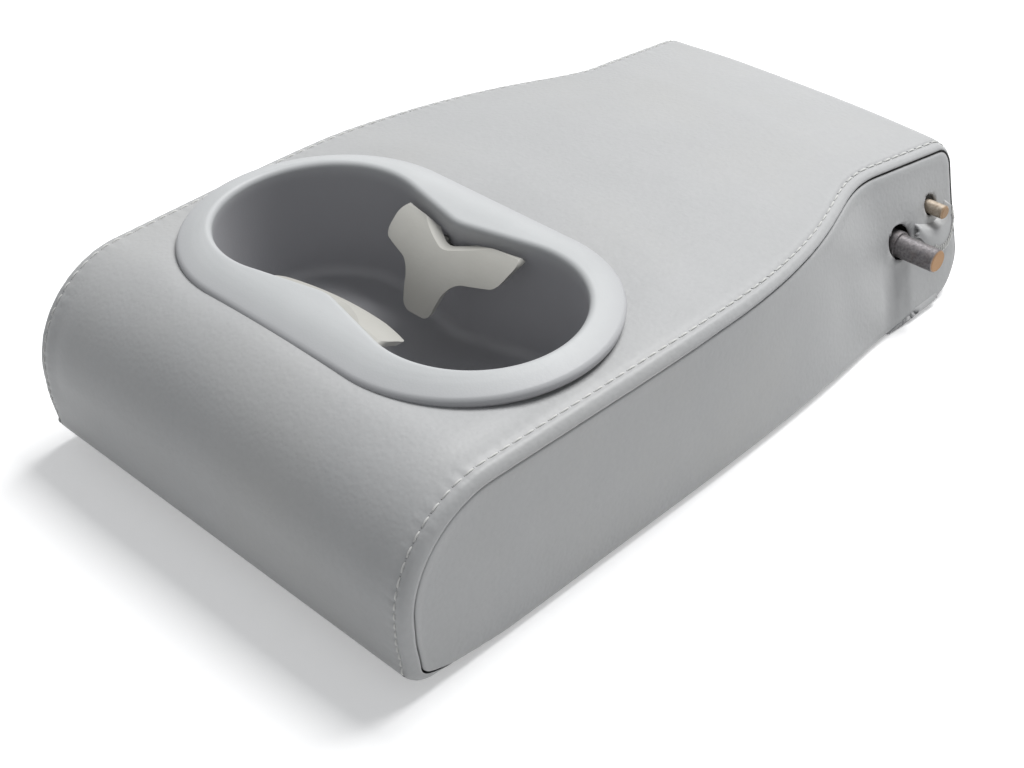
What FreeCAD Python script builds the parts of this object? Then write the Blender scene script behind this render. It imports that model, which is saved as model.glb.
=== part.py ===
"""Rear seat armrest with a twin cup holder, laid flat as in use.

Millimetres. +X to the right side, +Y to the rear (hinge end), +Z up. The origin is the middle of the
underside. Each sub-part is written to parts/NODE.step.
"""
import FreeCAD
import Part
import math
import os

V = FreeCAD.Vector
X_AXIS = V(1, 0, 0)

# Cover and foam outline, in side view along the middle
LENGTH = 345.0
FRONT_Y = -LENGTH / 2
REAR_Y = LENGTH / 2
FRONT_RADIUS = 42.0
FRONT_FOOT_RADIUS = 10.0
TOP_START_Y = FRONT_Y + 46.5
TOP_MID_Y = -18.0
TOP_END_Y = REAR_Y - 54.5
TOP_HEIGHT_FRONT = 81.2
TOP_HEIGHT_MID = 78.8
TOP_HEIGHT_REAR = 68.2
MID_BEND_RADIUS = 320.0
REAR_FALL_RADIUS = 90.0
REAR_TOP_HEIGHT = 61.0
REAR_TOP_RADIUS = 9.0
REAR_CORNER_OUT = 1.4
REAR_LEAN = 15.5
REAR_FOOT_RADIUS = 24.0
CROWN_RADIUS = 1378.0
CROWN_DEPTH = 12.0

# Cover and foam outline, in plan
HALF_WIDTH_FRONT = 105.0
HALF_WIDTH_REAR_FOOT = HALF_WIDTH_FRONT - 6.0
REAR_SIDE_LEAN = 0.355
WAIST_START_Y = -37.5
WAIST_PULL_FRONT = 110.0
WAIST_PULL_REAR = 32.0
WAIST_END_Y = REAR_Y - 55.0

# Cover panels
COVER = 1.8
SEAM_DROP = 5.0
SEAM_END_INSET = 4.0
EDGE_ROLL = 5.0
FIT = 0.3

# Cup holder
CUP_CENTRE_Y = FRONT_Y + 96.5
WELL_RADIUS = 40.0
WELL_OFFSET = 42.6
WAIST_HALF_GAP = 31.5
RIDGE_RADIUS = 18.0
RIM_OFFSET = 37.7
RIM_RADIUS = 56.9
RIM_EDGE_Z = 81.4
RIM_CREST_Z = 85.9
RIM_DOME_WIDTH = 16.0
RIM_DOME_STEPS = ((0.0, 0.0), (0.4, 0.62), (0.75, 0.93), (1.0, 1.0))
RIM_LAP = 7.0
TUB_WALL = 2.5
TUB_FLOOR_Z = 34.0
TUB_FLOOR_RADIUS = 4.0

# Cup grippers
GRIPPER_THICK = 2.0
GRIPPER_TOP_Z = 77.6
GRIPPER_TAIL_Z = 55.4
GRIPPER_TOP_REACH = 0.15
GRIPPER_REACH = 23.3
GRIPPER_WING_X = 32.0
GRIPPER_WING_RISE = 3.0
GRIPPER_WING_DROP = 5.0
GRIPPER_TAIL_HALF = 6.6
GRIPPER_BOW = 4.2
GRIPPER_WRAP = 113.0
GRIPPER_PIN_RADIUS = 1.5
GRIPPER_PIN_BEHIND = 5.5
GRIPPER_PIN_DROP = 2.6
GRIPPER_ARM_X = 6.0
GRIPPER_ARM_WIDTH = 2.6
GRIPPER_ARM_REACH = 5.6
GRIPPER_ARM_UNDER = 1.6
GRIPPER_ARM_OVER = 0.8
EAR_WIDTH = 2.4
RUNNING_GAP = 0.05
SPRING_THICK = 0.5
SPRING_WIDTH = 6.0
SPRING_FOOT_Z = 52.0
SPRING_TIP_Z = 72.5
SPRING_REACH = 9.2

# Steel frame
PAN_HALF_WIDTH = 66.0
PAN_FRONT_Y = FRONT_Y + 44.5
PAN_REAR_Y = REAR_Y - 34.5
PAN_TOP_Z = 10.0
PAN_THICK = 2.0
PAN_FLANGE_Z = 4.6
PAN_CORNER = 8.0
BRACKET_X = 60.0
BRACKET_THICK = 3.0
BRACKET_FOOT = 22.0
BRACKET_MARGIN = 9.0
PIVOT_Y = REAR_Y - 45.5
BRACKET_FRONT_Y = PIVOT_Y - 31.0
PIVOT_Z = 30.5
PIVOT_RADIUS = 5.0
PIVOT_TIP_X = HALF_WIDTH_FRONT
PIVOT_SEAT_X = HALF_WIDTH_REAR_FOOT - REAR_SIDE_LEAN * PIVOT_Z - COVER
SHAFT_RADIUS = 6.0
TUBE_RADIUS = 9.0
BUSH_RADIUS = 7.8
BUSH_LENGTH = 14.0
BUSH_FLANGE = 1.5
RING_THICK = 1.2
RING_GROOVE = 0.8
RING_RADIUS = 8.6
STOP_PIN_Y = REAR_Y - 22.0
STOP_PIN_Z = 38.0
STOP_PIN_RADIUS = 3.0
STOP_PIN_TIP_X = HALF_WIDTH_REAR_FOOT - 7.0
STOP_PIN_HEAD = 2.0
PIN_CHAMFER = 0.7
PIVOT_COVER_HOLE = 8.0
STOP_COVER_HOLE = 4.4

# Fasteners and hooks
SCREW_RADIUS = 2.0
SCREW_HEAD_RADIUS = 4.0
SCREW_HEAD = 2.2
SCREW_GRIP = 12.0
SCREW_SPACING_X = 70.0
SCREW_SPACING_Y = 40.0
BOSS_RADIUS = 4.5
BOLT_RADIUS = 3.0
BOLT_HEAD_RADIUS = 5.0
BOLT_HEAD = 3.0
HOOK_THICK = 1.8
HOOK_FRONT_Y = FRONT_Y + 62.5
HOOK_REAR_Y = REAR_Y - 82.5

FAR = 300.0


def rounded_loop(corners):
    """Closed 2D outline from (a, b, radius) corners, as lines and tangent arcs (list of pieces)."""
    count = len(corners)
    ends = []
    for i, (a, b, radius) in enumerate(corners):
        here = V(a, b, 0)
        before = V(*corners[i - 1][:2], 0) - here
        after = V(*corners[(i + 1) % count][:2], 0) - here
        before.normalize()
        after.normalize()
        half = math.acos(max(-1, min(1, before.dot(after)))) / 2
        reach = radius / math.tan(half)
        middle = before + after
        middle.normalize()
        apex = here + middle * (radius / math.sin(half) - radius)
        ends.append((here + before * reach, apex, here + after * reach))
    pieces = []
    for i in range(count):
        start, apex, stop = ends[i]
        pieces.append(("arc", start, apex, stop))
        pieces.append(("line", stop, ends[(i + 1) % count][0]))
    return pieces


def wire(pieces, place):
    """A wire from 2D pieces, each point put in space by place(a, b)."""
    edges = []
    for kind, *points in pieces:
        spots = [place(p.x, p.y) for p in points]
        if kind == "arc":
            edges.append(Part.Arc(*spots).toShape())
        else:
            edges.append(Part.makeLine(*spots))
    return Part.Wire(edges)


def side_corners(inset, seam=0.0):
    """Corners of the middle side profile in (y, z), moved inwards, or as far as the seam line."""
    top = inset + seam * SEAM_DROP
    ends = inset + seam * SEAM_END_INSET
    slope = (TOP_HEIGHT_MID - TOP_HEIGHT_FRONT) / (TOP_MID_Y - TOP_START_Y)
    nose_z = TOP_HEIGHT_FRONT + slope * (FRONT_Y - TOP_START_Y) - top
    return [
        (FRONT_Y + ends, -CROWN_DEPTH, 0.5),
        (FRONT_Y + ends, nose_z, FRONT_RADIUS - ends),
        (TOP_MID_Y, TOP_HEIGHT_MID - top, MID_BEND_RADIUS),
        (TOP_END_Y, TOP_HEIGHT_REAR - top, REAR_FALL_RADIUS),
        (REAR_Y + REAR_CORNER_OUT - ends, REAR_TOP_HEIGHT - top, REAR_TOP_RADIUS - inset),
        (REAR_Y - REAR_LEAN - ends, -CROWN_DEPTH, 0.5),
    ]


def side_slab(inset, seam=0.0):
    """The crowned form across the full width: the side profile turned about a far axis along Y."""
    profile = Part.Face(wire(rounded_loop(side_corners(inset, seam)), lambda y, z: V(0, y, z)))
    axis = V(0, 0, TOP_HEIGHT_MID - CROWN_RADIUS)
    half_angle = math.degrees(math.asin((HALF_WIDTH_FRONT + COVER) / CROWN_RADIUS)) + 0.5
    profile.rotate(axis, V(0, 1, 0), -half_angle)
    return profile.revolve(axis, V(0, 1, 0), 2 * half_angle)


def plan_wire(inset, z):
    """Outline of the two sides at height z: straight front, waist curve, narrower leaning rear."""
    front = HALF_WIDTH_FRONT - inset
    rear = HALF_WIDTH_REAR_FOOT - REAR_SIDE_LEAN * z - inset

    def waist(side):
        curve = Part.BezierCurve()
        curve.setPoles([
            V(side * front, WAIST_START_Y, z),
            V(side * front, WAIST_START_Y + WAIST_PULL_FRONT, z),
            V(side * rear, WAIST_END_Y - WAIST_PULL_REAR, z),
            V(side * rear, WAIST_END_Y, z),
        ])
        return curve.toShape()

    def line(x0, y0, x1, y1):
        return Part.makeLine(V(x0, y0, z), V(x1, y1, z))

    return Part.Wire(Part.__sortEdges__([
        line(-front, -FAR, front, -FAR),
        line(front, -FAR, front, WAIST_START_Y),
        waist(1),
        line(rear, WAIST_END_Y, rear, FAR),
        line(rear, FAR, -rear, FAR),
        line(-rear, FAR, -rear, WAIST_END_Y),
        waist(-1),
        line(-front, WAIST_START_Y, -front, -FAR),
    ]))


def side_limits(inset):
    """Everything between the two side faces."""
    return Part.makeLoft([plan_wire(inset, -20.0), plan_wire(inset, 120.0)], True, True)


def box(x0, x1, y0, y1, z0, z1):
    """An upright box between two corners."""
    return Part.makeBox(x1 - x0, y1 - y0, z1 - z0, V(x0, y0, z0))


def rod_x(radius, x0, x1, y, z):
    """A round bar along X."""
    return Part.makeCylinder(radius, x1 - x0, V(x0, y, z), X_AXIS)


def rod_z(radius, x, y, z0, z1):
    """A round bar along Z."""
    return Part.makeCylinder(radius, z1 - z0, V(x, y, z0))


def across(pieces, x0, x1):
    """A prism along X from a (y, z) outline."""
    outline = wire(pieces, lambda y, z: V(x0, y, z))
    return Part.Face(outline).extrude(V(x1 - x0, 0, 0))


def mirrored(shape):
    """The same piece on the other side of the middle plane."""
    return shape.mirror(V(0, 0, 0), X_AXIS)


def turned(shape):
    """The same piece at the front of the cup holder: half a turn about its middle."""
    copy = shape.copy()
    copy.rotate(V(0, CUP_CENTRE_Y, 0), V(0, 0, 1), 180)
    return copy


# Cover and foam

def middle_of(edge):
    return edge.valueAt((edge.FirstParameter + edge.LastParameter) / 2)


def foot_rounded(form, inset):
    """The form with the lower edges of nose and rear rounded."""
    def across_floor(edge):
        box_of = edge.BoundBox
        return box_of.ZMax < inset + 0.01 and box_of.XLength > HALF_WIDTH_FRONT

    def foot(shape, end):
        return sorted((e for e in shape.Edges if across_floor(e)), key=lambda e: end * middle_of(e).y)[-1:]

    form = form.makeFillet(REAR_FOOT_RADIUS - inset, foot(form, 1))
    return form.makeFillet(FRONT_FOOT_RADIUS - inset, foot(form, -1))


def plain_form(inset):
    """The armrest's form, moved inwards by inset, with sharp edges along both seams."""
    form = side_slab(inset).common(side_limits(inset)).common(box(-FAR, FAR, -FAR, FAR, inset, FAR))
    return foot_rounded(form, inset)


def rolled_form():
    """The armrest's outer form, with rolled edges along both seams."""
    form = plain_form(0.0)
    edges = []
    for edge in form.Edges:
        start = edge.valueAt(edge.FirstParameter)
        stop = edge.valueAt(edge.LastParameter)
        middle = middle_of(edge)
        on_side = abs(middle.x) > HALF_WIDTH_FRONT / 2
        above_floor = middle.z > 0.5
        upright = abs(start.y - stop.y) < 0.5 and abs(start.z - stop.z) > 0.7 * TOP_HEIGHT_REAR
        if on_side and above_floor and not upright:
            edges.append(edge)
    return form.makeFillet(EDGE_ROLL, edges)


def stadium(radius, z):
    """Outline of the cup holder's rim, with end arcs of the given radius."""
    y0 = CUP_CENTRE_Y - radius
    y1 = CUP_CENTRE_Y + radius
    a = RIM_OFFSET
    return Part.Wire([
        Part.makeLine(V(-a, y0, z), V(a, y0, z)),
        Part.Arc(V(a, y0, z), V(a + radius, CUP_CENTRE_Y, z), V(a, y1, z)).toShape(),
        Part.makeLine(V(a, y1, z), V(-a, y1, z)),
        Part.Arc(V(-a, y1, z), V(-a - radius, CUP_CENTRE_Y, z), V(-a, y0, z)).toShape(),
    ])


def stadium_prism(radius, z0, z1):
    return Part.Face(stadium(radius, z0)).extrude(V(0, 0, z1 - z0))


def cover_panels(outer):
    """Top, side and bottom panels, cut along the seams out of one skin."""
    skin = outer.cut(plain_form(COVER))
    seam = side_slab(0.0, seam=1.0)
    between = side_limits(COVER)
    sides = skin.common(seam).cut(between)
    flat_front = FRONT_Y + FRONT_FOOT_RADIUS
    flat_rear = REAR_Y - REAR_LEAN - REAR_FOOT_RADIUS
    bottom = skin.common(between).common(box(-FAR, FAR, flat_front, flat_rear, -1, COVER))
    top = skin.cut(sides).cut(bottom)
    top = top.cut(stadium_prism(RIM_RADIUS - RIM_LAP, PAN_TOP_Z, FAR))
    holes = rod_x(PIVOT_COVER_HOLE, -FAR, FAR, PIVOT_Y, PIVOT_Z)
    holes = holes.fuse(rod_x(STOP_COVER_HOLE, -FAR, FAR, STOP_PIN_Y, STOP_PIN_Z))
    sides = sides.cut(holes)
    right = [s for s in sides.Solids if s.CenterOfMass.x > 0]
    left = [s for s in sides.Solids if s.CenterOfMass.x < 0]
    return top, Part.makeCompound(right), Part.makeCompound(left), bottom


def foam_pad():
    """Moulded foam with pockets for the cup holder, the pan and the hinge."""
    foam = plain_form(COVER + FIT)
    foam = foam.cut(stadium_prism(RIM_RADIUS - RIM_LAP, -1, FAR))
    pan_side = PAN_HALF_WIDTH + HOOK_THICK + 2 * FIT
    foam = foam.cut(box(-pan_side, pan_side, PAN_FRONT_Y - FIT, PAN_REAR_Y + FIT, -1, PAN_TOP_Z + FIT))
    foam = foam.cut(rod_x(TUBE_RADIUS + FIT, -FAR, FAR, PIVOT_Y, PIVOT_Z))
    foam = foam.cut(rod_x(STOP_PIN_RADIUS + FIT, -FAR, FAR, STOP_PIN_Y, STOP_PIN_Z))
    slot = Part.Face(bracket_outline(0).makeOffset2D(FIT)).extrude(V(BRACKET_THICK + 2 * FIT, 0, 0))
    slot.translate(V(BRACKET_X - FIT, 0, 0))
    foot = box(BRACKET_X - BRACKET_FOOT - FIT, BRACKET_X, BRACKET_FRONT_Y - FIT, PAN_REAR_Y + FIT,
               PAN_TOP_Z, PAN_TOP_Z + BRACKET_THICK + BOLT_HEAD + FIT)
    head = rod_x(STOP_PIN_RADIUS + STOP_PIN_HEAD + FIT, BRACKET_X - STOP_PIN_HEAD - FIT, BRACKET_X,
                 STOP_PIN_Y, STOP_PIN_Z)
    pocket = slot.fuse([foot, head])
    return foam.cut(pocket).cut(mirrored(pocket))


# Cup holder

def peanut(inset, z):
    """Outline of the two joined wells, moved inwards by inset: two circles, two ridges, tangent lines."""
    well = WELL_RADIUS - inset
    ridge = RIDGE_RADIUS + inset
    ridge_y = WAIST_HALF_GAP - inset + ridge
    reach = math.hypot(WELL_OFFSET, ridge_y)
    lean = math.atan2(ridge_y, -WELL_OFFSET) - math.acos((well + ridge) / reach)
    nx, ny = math.cos(lean), math.sin(lean)

    def spot(x, y):
        return V(x, CUP_CENTRE_Y + y, z)

    def well_arc(side):
        x = side * WELL_OFFSET
        return Part.Arc(spot(x + side * well * nx, well * ny), spot(x + side * well, 0),
                        spot(x + side * well * nx, -well * ny)).toShape()

    def ridge_arc(side):
        y = side * (ridge_y - ridge * ny)
        return Part.Arc(spot(-ridge * nx, y), spot(0, side * (ridge_y - ridge)), spot(ridge * nx, y)).toShape()

    def flank(side_x, side_y):
        return Part.makeLine(spot(side_x * (WELL_OFFSET + well * nx), side_y * well * ny),
                             spot(-side_x * ridge * nx, side_y * (ridge_y - ridge * ny)))

    edges = [well_arc(1), flank(1, -1), ridge_arc(-1), flank(-1, -1),
             well_arc(-1), flank(-1, 1), ridge_arc(1), flank(1, 1)]
    return Part.Wire(Part.__sortEdges__(edges))


def rim_block(inset):
    """Solid under the domed rim surface, moved inwards by inset."""
    rise = RIM_CREST_Z - RIM_EDGE_Z
    wires = [stadium(RIM_RADIUS - inset - part * RIM_DOME_WIDTH, RIM_EDGE_Z - inset + up * rise)
             for part, up in RIM_DOME_STEPS]
    dome = Part.makeLoft(wires, True, False)
    return dome.fuse(stadium_prism(RIM_RADIUS - inset, TUB_FLOOR_Z, RIM_EDGE_Z - inset))


def screw_spots():
    return [(sx * SCREW_SPACING_X / 2, CUP_CENTRE_Y + sy * SCREW_SPACING_Y / 2)
            for sx in (-1, 1) for sy in (-1, 1)]


PIN_Y = CUP_CENTRE_Y + WAIST_HALF_GAP + GRIPPER_PIN_BEHIND
PIN_Z = GRIPPER_TOP_Z - GRIPPER_PIN_DROP
ARM_OUTER_X = GRIPPER_ARM_X + GRIPPER_ARM_WIDTH / 2
EAR_X = ARM_OUTER_X + FIT
KNUCKLE_RADIUS = GRIPPER_PIN_RADIUS + 1.3
WINDOW_DROP = 7.5


def hinge_ears():
    """Two ears behind the rear ridge that carry the gripper's pin."""
    ears = []
    for side in (-1, 1):
        x0, x1 = sorted((side * EAR_X, side * (EAR_X + EAR_WIDTH)))
        wall_y = CUP_CENTRE_Y + WAIST_HALF_GAP + TUB_WALL / 2
        plate = box(x0, x1, wall_y, PIN_Y, PIN_Z - KNUCKLE_RADIUS, PIN_Z + KNUCKLE_RADIUS)
        ears.append(plate.fuse(rod_x(KNUCKLE_RADIUS, x0, x1, PIN_Y, PIN_Z)))
    return ears


def cup_holder(outer):
    """Rim and tub in one moulding, with gripper windows, hinge ears and screw bosses."""
    block = rim_block(0.0)
    rim = block.cut(rim_block(TUB_WALL)).cut(outer)
    floor_z = TUB_FLOOR_Z - TUB_WALL
    shell = Part.Face(peanut(-TUB_WALL, floor_z)).extrude(V(0, 0, RIM_CREST_Z - floor_z))
    hollow = Part.Face(peanut(0.0, TUB_FLOOR_Z)).extrude(V(0, 0, RIM_CREST_Z - TUB_FLOOR_Z))
    floor_edges = [e for e in hollow.Edges if abs(e.BoundBox.ZMax - TUB_FLOOR_Z) < 0.01]
    hollow = hollow.makeFillet(TUB_FLOOR_RADIUS, floor_edges)
    tub = shell.common(block.fuse(box(-FAR, FAR, -FAR, FAR, floor_z, TUB_FLOOR_Z)))
    bosses = [rod_z(BOSS_RADIUS, x, y, PAN_TOP_Z, TUB_FLOOR_Z - TUB_WALL / 2) for x, y in screw_spots()]
    ears = hinge_ears()
    moulding = rim.fuse([tub] + bosses + ears + [turned(e) for e in ears])
    moulding = moulding.cut(hollow)
    window = box(-EAR_X, EAR_X, CUP_CENTRE_Y, PIN_Y, PIN_Z - WINDOW_DROP, PIN_Z + KNUCKLE_RADIUS)
    pin_hole = rod_x(GRIPPER_PIN_RADIUS, -FAR, FAR, PIN_Y, PIN_Z)
    pin_hole = pin_hole.common(box(-EAR_X - EAR_WIDTH, EAR_X + EAR_WIDTH, -FAR, FAR, 0, FAR))
    cuts = [window, pin_hole, turned(window), turned(pin_hole)]
    cuts += [rod_z(SCREW_RADIUS + RUNNING_GAP, x, y, PAN_TOP_Z - 1, PAN_TOP_Z + SCREW_GRIP + 1)
             for x, y in screw_spots()]
    return moulding.cut(cuts).removeSplitter()


def gripper():
    """Rear cup gripper: a bowed saddle leaf cut to a whale-tail outline, with two hinge arms."""
    ridge_y = CUP_CENTRE_Y + WAIST_HALF_GAP
    top = V(0, ridge_y + GRIPPER_TOP_REACH, GRIPPER_TOP_Z + GRIPPER_WING_RISE)
    tail = V(0, ridge_y - GRIPPER_REACH, GRIPPER_TAIL_Z)
    chord = tail - top
    middle = (top + tail) * 0.5
    out = V(0, chord.z, -chord.y)
    out.normalize()
    crest = middle + out * GRIPPER_BOW
    arc = Part.Arc(top, crest, tail).toShape()
    centre = arc.Curve.Center
    shrink = (arc.Curve.Radius - GRIPPER_THICK) / arc.Curve.Radius
    inner = [centre + (p - centre) * shrink for p in (top, crest, tail)]
    band = Part.Wire([
        arc, Part.makeLine(tail, inner[2]),
        Part.Arc(inner[2], inner[1], inner[0]).toShape(), Part.makeLine(inner[0], top),
    ])
    axis = V(0, ridge_y + GRIPPER_WRAP, 0)
    half_angle = math.degrees(math.asin((GRIPPER_WING_X + 4) / GRIPPER_WRAP))
    face = Part.Face(band)
    face.rotate(axis, V(0, 0, 1), -half_angle)
    leaf = face.revolve(axis, V(0, 0, 1), 2 * half_angle)
    right = [
        (GRIPPER_WING_X * 0.58, GRIPPER_TOP_Z + GRIPPER_WING_RISE, 12.0),
        (GRIPPER_WING_X, GRIPPER_TOP_Z + GRIPPER_WING_RISE - 0.6, 2.0),
        (GRIPPER_WING_X * 0.93, GRIPPER_TOP_Z - GRIPPER_WING_DROP, 4.0),
        (GRIPPER_TAIL_HALF * 1.7, GRIPPER_TOP_Z - GRIPPER_WING_DROP - 2.4, 9.0),
        (GRIPPER_TAIL_HALF, GRIPPER_TAIL_Z, 4.5),
    ]
    left = [(-x, z, r) for x, z, r in reversed(right)]
    outline = wire(rounded_loop([(0, GRIPPER_TOP_Z - 1.0, 14.0)] + right + left), lambda x, z: V(x, -FAR, z))
    leaf = leaf.common(Part.Face(outline).extrude(V(0, 2 * FAR, 0)))
    arms = []
    for side in (-1, 1):
        x0 = side * GRIPPER_ARM_X - GRIPPER_ARM_WIDTH / 2
        x1 = x0 + GRIPPER_ARM_WIDTH
        arm = box(x0, x1, ridge_y - GRIPPER_ARM_REACH, PIN_Y, PIN_Z - GRIPPER_ARM_UNDER,
                  PIN_Z + GRIPPER_ARM_OVER)
        arms.append(arm.fuse(rod_x(KNUCKLE_RADIUS, x0, x1, PIN_Y, PIN_Z)))
    leaf = leaf.fuse(arms)
    return leaf.cut(rod_x(GRIPPER_PIN_RADIUS + RUNNING_GAP, -FAR, FAR, PIN_Y, PIN_Z)).removeSplitter()


def gripper_pin():
    return rod_x(GRIPPER_PIN_RADIUS, -EAR_X - EAR_WIDTH, EAR_X + EAR_WIDTH, PIN_Y, PIN_Z)


def gripper_spring():
    """Bent leaf spring: flat on the back of the ridge, through the window, up to the leaf."""
    back = CUP_CENTRE_Y + WAIST_HALF_GAP + TUB_WALL + SPRING_THICK + FIT + RUNNING_GAP
    tip_y = CUP_CENTRE_Y + WAIST_HALF_GAP - SPRING_REACH
    bend_z = PIN_Z - WINDOW_DROP + 1.2
    t = SPRING_THICK
    corners = [
        (back, SPRING_FOOT_Z, 0.1), (back, bend_z, 1.0 + t), (tip_y, SPRING_TIP_Z, 0.1),
        (tip_y, SPRING_TIP_Z - t, 0.1), (back - t, bend_z - t, 1.0), (back - t, SPRING_FOOT_Z, 0.1),
    ]
    return across(rounded_loop(corners), -SPRING_WIDTH / 2, SPRING_WIDTH / 2)


# Steel frame

def base_pan():
    """Stamped pan, open below, with clearance holes for the screws and bolts."""
    w = PAN_HALF_WIDTH
    t = PAN_THICK
    pan = box(-w, w, PAN_FRONT_Y, PAN_REAR_Y, PAN_FLANGE_Z, PAN_TOP_Z)
    upright = [e for e in pan.Edges if abs(e.BoundBox.ZLength - (PAN_TOP_Z - PAN_FLANGE_Z)) < 0.01]
    pan = pan.makeFillet(PAN_CORNER, upright)
    inside = box(-w + t, w - t, PAN_FRONT_Y + t, PAN_REAR_Y - t, PAN_FLANGE_Z - 1, PAN_TOP_Z - t)
    upright = [e for e in inside.Edges if abs(e.BoundBox.ZLength - (PAN_TOP_Z - t - PAN_FLANGE_Z + 1)) < 0.01]
    pan = pan.cut(inside.makeFillet(PAN_CORNER - t, upright))
    holes = [rod_z(SCREW_RADIUS + FIT, x, y, 0, FAR) for x, y in screw_spots()]
    holes += [rod_z(BOLT_RADIUS + RUNNING_GAP, x, y, 0, FAR) for x, y in bolt_spots()]
    return pan.cut(holes)


def bracket_outline(x):
    """Outline of a hinge bracket, from its foot on the pan up round the pivot and the stop pin."""
    foot_z = PAN_TOP_Z
    corners = [
        (BRACKET_FRONT_Y, foot_z, 0.5),
        (PAN_REAR_Y, foot_z, 0.5),
        (STOP_PIN_Y + BRACKET_MARGIN, STOP_PIN_Z - BRACKET_MARGIN, 7.0),
        (STOP_PIN_Y + BRACKET_MARGIN, STOP_PIN_Z + BRACKET_MARGIN, 7.0),
        (PIVOT_Y - BRACKET_MARGIN, PIVOT_Z + TUBE_RADIUS + BRACKET_MARGIN, 9.0),
        (BRACKET_FRONT_Y, foot_z + 12.0, 5.0),
    ]
    return wire(rounded_loop(corners), lambda y, z: V(x, y, z))


def bolt_spots():
    x = BRACKET_X - BRACKET_FOOT / 2
    ys = (BRACKET_FRONT_Y + 2 * BOLT_HEAD_RADIUS, PAN_REAR_Y - 2 * BOLT_HEAD_RADIUS)
    return [(side * x, y) for side in (-1, 1) for y in ys]


def hinge_bracket():
    """Right-hand bracket: upright plate with holes for tube and stop pin, and a foot on the pan."""
    plate = Part.Face(bracket_outline(BRACKET_X)).extrude(V(BRACKET_THICK, 0, 0))
    foot = box(BRACKET_X - BRACKET_FOOT, BRACKET_X + BRACKET_THICK / 2, BRACKET_FRONT_Y + 1, PAN_REAR_Y - 1,
               PAN_TOP_Z, PAN_TOP_Z + BRACKET_THICK)
    bracket = plate.fuse(foot)
    cuts = [rod_x(TUBE_RADIUS, 0, FAR, PIVOT_Y, PIVOT_Z), rod_x(STOP_PIN_RADIUS, 0, FAR, STOP_PIN_Y, STOP_PIN_Z)]
    cuts += [rod_z(BOLT_RADIUS + RUNNING_GAP, x, y, 0, FAR) for x, y in bolt_spots()]
    return bracket.cut(cuts).removeSplitter()


TUBE_END_X = BRACKET_X + BRACKET_THICK
RING_X = TUBE_END_X + BUSH_FLANGE + FIT


def hinge_tube():
    tube = rod_x(TUBE_RADIUS, -TUBE_END_X, TUBE_END_X, PIVOT_Y, PIVOT_Z)
    return tube.cut(rod_x(BUSH_RADIUS, -FAR, FAR, PIVOT_Y, PIVOT_Z))


def bush():
    """Right-hand flanged bush in the end of the hinge tube."""
    sleeve = rod_x(BUSH_RADIUS, TUBE_END_X - BUSH_LENGTH, TUBE_END_X, PIVOT_Y, PIVOT_Z)
    flange = rod_x(TUBE_RADIUS, TUBE_END_X, TUBE_END_X + BUSH_FLANGE, PIVOT_Y, PIVOT_Z)
    return sleeve.fuse(flange).cut(rod_x(SHAFT_RADIUS + RUNNING_GAP, -FAR, FAR, PIVOT_Y, PIVOT_Z))


def chamfered_rod(radius, x0, x1, y, z, chamfer):
    """A round bar along X with its end at x1 chamfered."""
    rod = rod_x(radius, x0, x1, y, z)
    rim = [e for e in rod.Edges if e.BoundBox.XMin > x1 - 0.01]
    return rod.makeChamfer(chamfer, rim)


def pivot_shaft():
    """Shaft across the hinge, with ring grooves and a slightly smaller seat at each free end."""
    half = chamfered_rod(PIVOT_RADIUS, 0, PIVOT_TIP_X, PIVOT_Y, PIVOT_Z, PIN_CHAMFER)
    half = half.fuse(rod_x(SHAFT_RADIUS, 0, PIVOT_SEAT_X, PIVOT_Y, PIVOT_Z))
    groove = rod_x(2 * SHAFT_RADIUS, RING_X, RING_X + RING_THICK + RUNNING_GAP, PIVOT_Y, PIVOT_Z)
    groove = groove.cut(rod_x(SHAFT_RADIUS - RING_GROOVE, 0, FAR, PIVOT_Y, PIVOT_Z))
    half = half.cut(groove)
    return half.fuse(mirrored(half)).removeSplitter()


def retaining_ring():
    """Right-hand open ring in the shaft's groove."""
    ring = rod_x(RING_RADIUS, RING_X, RING_X + RING_THICK, PIVOT_Y, PIVOT_Z)
    ring = ring.cut(rod_x(SHAFT_RADIUS - RING_GROOVE + RUNNING_GAP, 0, FAR, PIVOT_Y, PIVOT_Z))
    mouth = SHAFT_RADIUS - RING_GROOVE
    return ring.cut(box(0, FAR, PIVOT_Y - mouth, PIVOT_Y + mouth, PIVOT_Z - FAR, PIVOT_Z))


def stop_pin():
    """Right-hand stop pin, riveted into its bracket."""
    pin = chamfered_rod(STOP_PIN_RADIUS, BRACKET_X, STOP_PIN_TIP_X, STOP_PIN_Y, STOP_PIN_Z, PIN_CHAMFER)
    head = rod_x(STOP_PIN_RADIUS + STOP_PIN_HEAD, BRACKET_X - STOP_PIN_HEAD, BRACKET_X, STOP_PIN_Y, STOP_PIN_Z)
    return pin.fuse(head).removeSplitter()


# Fasteners and hooks

def cup_holder_screws():
    under = PAN_TOP_Z - PAN_THICK
    screws = []
    for x, y in screw_spots():
        shank = rod_z(SCREW_RADIUS, x, y, under, PAN_TOP_Z + SCREW_GRIP)
        screws.append(shank.fuse(rod_z(SCREW_HEAD_RADIUS, x, y, under - SCREW_HEAD, under)))
    return Part.makeCompound(screws)


def bracket_bolts():
    seat = PAN_TOP_Z + BRACKET_THICK
    bolts = []
    for x, y in bolt_spots():
        corners = [V(x + BOLT_HEAD_RADIUS * math.cos(math.radians(60 * i)),
                     y + BOLT_HEAD_RADIUS * math.sin(math.radians(60 * i)), seat) for i in range(7)]
        head = Part.Face(Part.makePolygon(corners)).extrude(V(0, 0, BOLT_HEAD))
        bolts.append(head.fuse(rod_z(BOLT_RADIUS, x, y, PAN_FLANGE_Z, seat)))
    return Part.makeCompound(bolts)


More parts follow.
